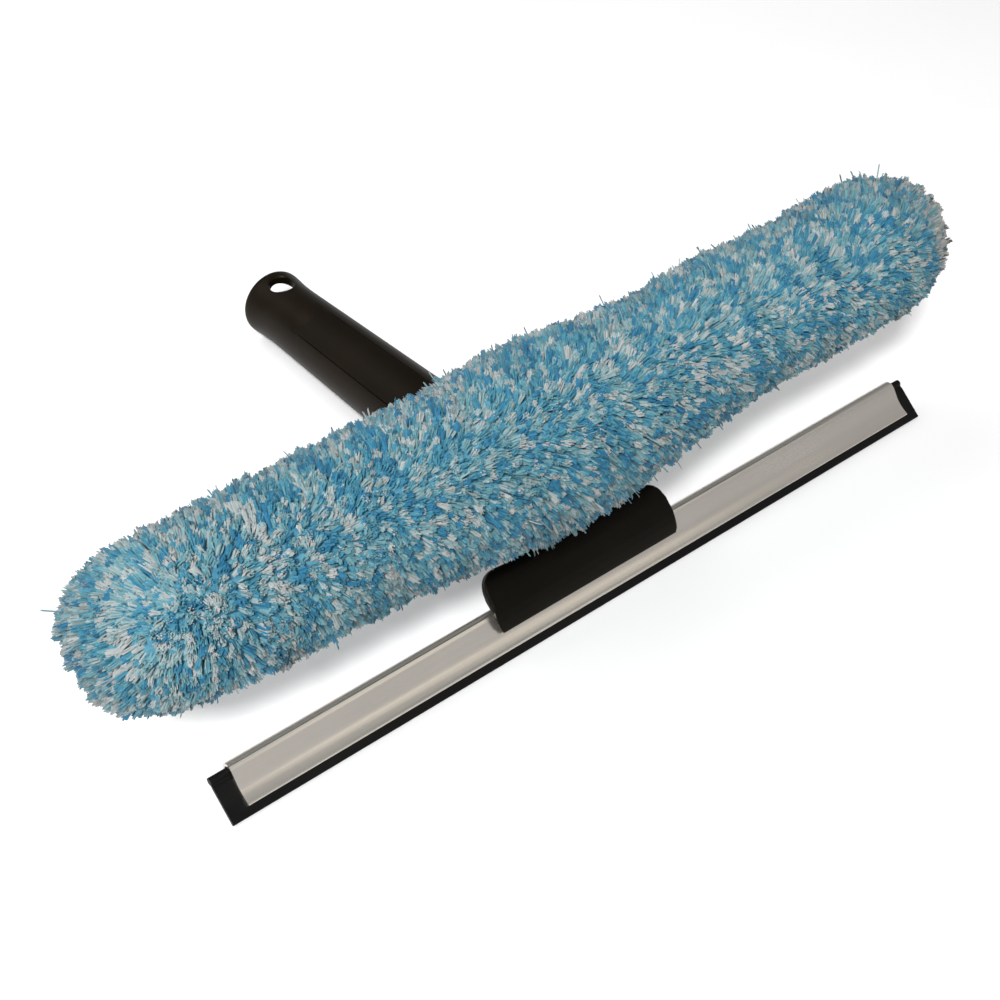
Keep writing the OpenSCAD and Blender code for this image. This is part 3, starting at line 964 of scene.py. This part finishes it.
def make_backing(material, thread):
    """The sleeve's cloth: one piece rolled to a tube, seamed below and parted along the slot."""
    middle_r = backing_r - CLOTH_T / 2
    half_slot = math.asin((slot_half - 0.1 * MM) / middle_r)
    rows, columns = 240, 97
    ripple = waves(10, 0.05, 0.015)

    def place(i, j):
        x = -backing_end + 2 * backing_end * i / (rows - 1)
        opening = half_slot * min(max((x - slot_start) / (1.5 * MM), 0), 1) + 0.01
        angle = opening + (2 * math.pi - 2 * opening) * j / (columns - 1)
        wave = float(ripple(np.array([x]), np.array([angle]))[0]) * 0.10 * MM
        return sleeve_point(x, angle, middle_r + wave)

    cloth_piece = thickened(grid_object("backing_sheet", rows, columns, place, material), CLOTH_T)
    belongs(cloth_piece, "sleeve", "sleeve_backing")

    def rolled(i, j):
        turn = 2 * math.pi * j / 20
        angle = half_slot + 0.02 + (2 * math.pi - 2 * half_slot - 0.04) * i / 150
        swell = 1 + 0.07 * math.sin(23 * angle) + 0.04 * math.sin(41 * angle)
        x = hem_middle + 3.4 * MM * math.cos(turn)
        return sleeve_point(x, angle, middle_r + 0.1 * MM + 1.05 * MM * swell * math.sin(turn))

    hem = rod("rolled_hem", 151, 20, rolled, material)
    round_len = middle_r * (2 * math.pi - 2 * half_slot)
    seam_r = middle_r - 1.0 * MM

    def seam(at):
        if at is None:
            return round_len * seam_r / middle_r
        return sleeve_point(hem_middle + 2.2 * MM, half_slot + at / seam_r, seam_r)

    def inward(at):
        angle = half_slot + at / seam_r
        return (0, -math.sin(angle), math.cos(angle))

    hem_thread = stitches("hem_stitches", seam, inward, thread)
    for made in (hem, hem_thread):
        belongs(made, "sleeve", "end_hem")
    width = 2 * math.pi * middle_r
    slot_area = 2 * half_slot * middle_r * (backing_end - slot_start)
    area = width * 2 * backing_end - slot_area
    return cloth_piece, (width, 2 * backing_end), area, [hem, hem_thread]


def make_end_disc(material):
    """The round of cloth sewn over the closed end, a little domed."""

    def face(x):
        return [(x - DISC_DOME * (1 - share ** 2), backing_r * share) for share in (0, 0.25, 0.5, 0.75, 0.9)]

    rim = [(-disc_back + 0.1 * MM, backing_r * 0.97), (-disc_back + 0.4 * MM, backing_r),
           (-backing_end - 0.4 * MM, backing_r), (-backing_end - 0.1 * MM, backing_r * 0.97)]
    rings = face(-disc_back) + rim + face(-backing_end)[::-1]
    made = turned("end_round", rings, 72, sleeve_point, material, 60)
    belongs(made, "sleeve", "end_disc")


def make_binding(material, thread):
    """Folded tape along both edges of the slot and across its closed end, with its stitches."""
    top, bottom = binding_high[2], bar_z - 11.3 * MM
    middle_z, half_high, half_thick = (top + bottom) / 2, (top - bottom) / 2, 0.62 * MM
    pieces = []
    for name, sign in (("near", -1), ("far", 1)):
        y = bar_y + sign * (slot_half - 0.6 * MM)
        rows, sides = 130, 16

        def place(i, j, y=y):
            turn = 2 * math.pi * j / sides
            x = slot_start + (backing_end - slot_start) * i / (rows - 1)
            high = half_high * (1 + 0.05 * math.sin(x / MM * 0.9))
            return (x, y + half_thick * math.cos(turn), middle_z + high * math.sin(turn))

        tape = rod(f"slot_tape_{name}", rows, sides, place, material)

        def line(at, y=y, sign=sign):
            if at is None:
                return backing_end - slot_start
            return (slot_start + at, y - sign * half_thick * 0.95, middle_z - 0.5 * MM)

        row = stitches(f"slot_stitches_{name}", line, lambda at, sign=sign: (0, -sign, 0), thread)
        pieces += [tape, row]
    rows, sides = 24, 16
    low_z = (binding_low[2] + bottom) / 2 + 0.6 * MM

    def across(i, j):
        turn = 2 * math.pi * j / sides
        y = bar_y - slot_half + 2 * slot_half * i / (rows - 1)
        return (slot_start + 0.6 * MM + half_thick * math.cos(turn), y, low_z + half_high * math.sin(turn))

    pieces.append(rod("slot_tape_end", rows, sides, across, material))
    for made in pieces:
        belongs(made, "sleeve", "slot_binding")
    return pieces


def make_strips(node, body, material, r, inside):
    """Hook or loop strips: a thin tape with a dense field of little hooks or loops."""
    low, high = corners(node)
    for name, x0 in (("left", low[0]), ("right", high[0] - STRIP_LEN)):
        rows, columns = 113, 37
        half = math.asin((high[1] - low[1]) / 2 / r)

        def place(i, j):
            u, v = i / (rows - 1), j / (columns - 1)
            edge = min(i, j, rows - 1 - i, columns - 1 - j)
            tall = HOOK_HIGH * rng.uniform(0.55, 1.0) if (i + j) % 2 == 0 and edge > 1 else 0
            radius = r - STRIP_T - tall if inside else r + STRIP_T + tall
            lean = rng.normal(0, 0.07) * MM if tall else 0
            return sleeve_point(x0 + STRIP_LEN * u + lean, math.pi - half + 2 * half * v, radius)

        made = grid_object(f"{node}_{name}", rows, columns, place, material)
        solid = made.modifiers.new("thick", "SOLIDIFY")
        solid.thickness = STRIP_T
        solid.offset = -1
        with_modifiers(made)
        made.data.shade_smooth()
        belongs(made, body, node)


# ---- Camera, light and floor ----

CAMERA_LENS, SENSOR = 61.2, 36
CAMERA_TURN, CAMERA_LIFT, CAMERA_ROLL = (math.radians(a) for a in (-40.39, 42.67, 1.68))
CAMERA_AIM = (-13.45 * MM, lip_y + 46.38 * MM, lip_z + 30 * MM)
CAMERA_AWAY = 659.2 * MM
# Directions in the room, with the share of facing them over which the light changes, and the change
GLOWS = (((0.150, -0.880, 0.450), (0.80, 0.99, 0.34, 0.51)),
         ((0.35, 0.93, 0.10), (0.35, 0.95, 0.0, -0.16)))
KEY_TILT, KEY_UP, KEY_LEFT, KEY_AWAY = math.radians(7), 0.75, 0.66, 2.4
KEY_SIZE, KEY_POWER = (0.26, 0.26), 55
BACK_PLACE, BACK_SIZE, BACK_POWER = Vector((-0.55, 0.75, 1.2)), (1.2, 1.2), 9
STRIP_TILT, STRIP_SHIFT, STRIP_SIZE, STRIP_POWER = math.radians(32), 0.42, (0.62, 0.22), 0.25
STRIP_TINT = (1, 0.93, 0.78)
LIT_MIDDLE = Vector((0, -0.06, 0.03))
FLOOR_HALF = 6.0
FLOOR_DARK, FLOOR_LIGHT = (0.95, 0.95, 0.95), (0.97, 0.97, 0.97)


def make_camera():
    """A long lens, turned about the part, raised and rolled a little."""
    camera = bpy.data.objects.new("camera", bpy.data.cameras.new("camera"))
    bpy.context.collection.objects.link(camera)
    camera.data.lens = CAMERA_LENS
    camera.data.sensor_width = SENSOR
    camera.data.clip_start = 0.01
    turn, lift, roll = CAMERA_TURN, CAMERA_LIFT, CAMERA_ROLL
    back = Vector((math.sin(turn) * math.cos(lift), -math.cos(turn) * math.cos(lift), math.sin(lift)))
    right = (-back).cross(Vector((0, 0, 1))).normalized()
    up = right.cross(-back)
    side = right * math.cos(roll) + up * math.sin(roll)
    top = up * math.cos(roll) - right * math.sin(roll)
    matrix = Matrix((side, top, back)).transposed().to_4x4()
    matrix.translation = Vector(CAMERA_AIM) + back * CAMERA_AWAY
    camera.matrix_world = matrix
    bpy.context.scene.camera = camera


def make_light(name, place, aim, size, power, colour=(1, 1, 1)):
    data = bpy.data.lights.new(name, "AREA")
    data.shape = "RECTANGLE"
    data.size, data.size_y = size
    data.energy = power
    data.color = colour
    lamp = bpy.data.objects.new(name, data)
    lamp.location = place
    lamp.rotation_euler = (Vector(aim) - Vector(place)).to_track_quat("-Z", "Y").to_euler()
    bpy.context.collection.objects.link(lamp)


def make_floor():
    look = Look("floor_paper", Roughness=0.9, Specular_IOR_Level=0.1)
    look.colour(look.ramp(look.noise(9, 2), (0.2, FLOOR_DARK), (0.9, FLOOR_LIGHT)))
    outline = [(x * FLOOR_HALF, y * FLOOR_HALF, 0) for x, y in ((-1, -1), (1, -1), (1, 1), (-1, 1))]
    mesh_object("floor", outline, [(0, 1, 2, 3)], look.material)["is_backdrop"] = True


def make_room():
    """A white room with a broad glow in front, and dimmer behind."""
    world = bpy.data.worlds.new("studio")
    world.use_nodes = True
    background = world.node_tree.nodes["Background"]
    background.inputs["Color"].default_value = (1, 1, 1, 1)
    nodes, links = world.node_tree.nodes, world.node_tree.links
    direction = nodes.new("ShaderNodeTexCoord").outputs["Generated"]
    parts = []
    for toward, change in GLOWS:
        facing = nodes.new("ShaderNodeVectorMath")
        facing.operation = "DOT_PRODUCT"
        facing.inputs[1].default_value = toward
        links.new(direction, facing.inputs[0])
        glow = nodes.new("ShaderNodeMapRange")
        glow.interpolation_type = "SMOOTHSTEP"
        for socket, value in zip(("From Min", "From Max", "To Min", "To Max"), change):
            glow.inputs[socket].default_value = value
        links.new(facing.outputs["Value"], glow.inputs["Value"])
        parts.append(glow.outputs["Result"])
    total = nodes.new("ShaderNodeMath")
    for part, socket in zip(parts, total.inputs):
        links.new(part, socket)
    links.new(total.outputs["Value"], background.inputs["Strength"])
    bpy.context.scene.world = world


def make_lights():
    """A key lamp near the camera and to its upper left, one behind, and a strip for the channel."""
    matrix = bpy.context.scene.camera.matrix_world
    side, top, back = (Vector(matrix.col[k][:3]) for k in range(3))
    toward = back * math.cos(KEY_TILT) + (top * KEY_UP - side * KEY_LEFT) * math.sin(KEY_TILT)
    make_light("key", LIT_MIDDLE + toward * KEY_AWAY, LIT_MIDDLE, KEY_SIZE, KEY_POWER)
    make_light("back", LIT_MIDDLE + BACK_PLACE, LIT_MIDDLE, BACK_SIZE, BACK_POWER)
    lip = Vector((0, lip_y, lip_z))
    away = Vector((STRIP_SHIFT, -math.sin(STRIP_TILT), math.cos(STRIP_TILT)))
    make_light("strip", lip + away, lip, STRIP_SIZE, STRIP_POWER, STRIP_TINT)


def make_cloth():
    thread = cloth("stitch_thread", (0.52, 0.50, 0.45), (0.80, 0.78, 0.72), 0.3)
    sheet_piece, flat, area, parts = make_backing(backing_cloth, thread)
    parts += make_binding(tape_cloth, thread)
    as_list(parts)
    make_end_disc(backing_cloth)
    make_strips("hook_strips", "frame", hook_look, bar_r, False)
    make_strips("loop_strips", "sleeve", loop_look, backing_in, True)


def dress_cad(looks):
    """Materials for the CAD nodes that stay in view."""
    for node, material in looks.items():
        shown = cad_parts[node]
        for slot in shown.material_slots:
            slot.material = material


make_camera()
make_floor()
make_room()
make_lights()
bpy.context.scene.view_settings.view_transform = "Standard"

handle_black = black_plastic("handle_black", (0.0052, 0.0034, 0.0016), (0.0084, 0.0056, 0.0030), 0.34, 0.5)
panel_black = black_plastic("panel_black", (0.0042, 0.003, 0.0016), (0.0064, 0.0045, 0.0026), 0.4, 0.55, 0.03)
jaw_black = black_plastic("jaw_black", (0.0022, 0.0021, 0.0017), (0.0040, 0.0036, 0.0030), 0.32, 0.5)
bar_black = black_plastic("bar_black", (0.010, 0.010, 0.0105), (0.018, 0.018, 0.019), 0.42, 0.6, 0.04)
screw_steel = steel("screw_steel", (0.66, 0.66, 0.67), 0.24)
clip_steel = steel("clip_steel", (0.16, 0.16, 0.17), 0.34)
backing_cloth = cloth("backing_cloth", (0.52, 0.48, 0.41), (0.78, 0.74, 0.66))
tape_cloth = cloth("tape_cloth", (0.48, 0.45, 0.40), (0.74, 0.71, 0.65), 0.5)
hook_look = cloth("hook_tape", (0.012, 0.012, 0.014), (0.045, 0.045, 0.05), 0.4)
loop_look = cloth("loop_tape", (0.50, 0.49, 0.46), (0.76, 0.74, 0.70), 0.4)
root_look = fibre("pile_roots", (0.045, 0.19, 0.29), (0.12, 0.31, 0.40))
tuft_looks = [fibre("tufts_" + name, dark, light) for name, dark, light, share in SHADES]

make_handle(handle_black)
make_inlay(panel_black)
softened("head", "head_moulding", jaw_black, 0.9, 6, head_shape)
softened("neck", "neck_moulding", jaw_black, 0.9, 6)
softened("front_jaw", "jaw_cover", jaw_black, 0.45, 4, cover_shape)
make_channel(aluminium())
make_rubber(black_rubber())
make_core(root_look)
make_pile(tuft_looks)
make_cloth()
dress_cad({
    "handle_screw": screw_steel, "clamp_screws": screw_steel, "neck_screws": screw_steel,
    "bar_screws": screw_steel, "t_bar": bar_black, "bar_cap_left": bar_black,
    "bar_cap_right": bar_black, "end_clip_left": clip_steel, "end_clip_right": clip_steel,
})

({name: [[float(v) for v in corner] for corner in box]
           for name, box in (("cad", cad_box), ("visual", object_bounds()))})
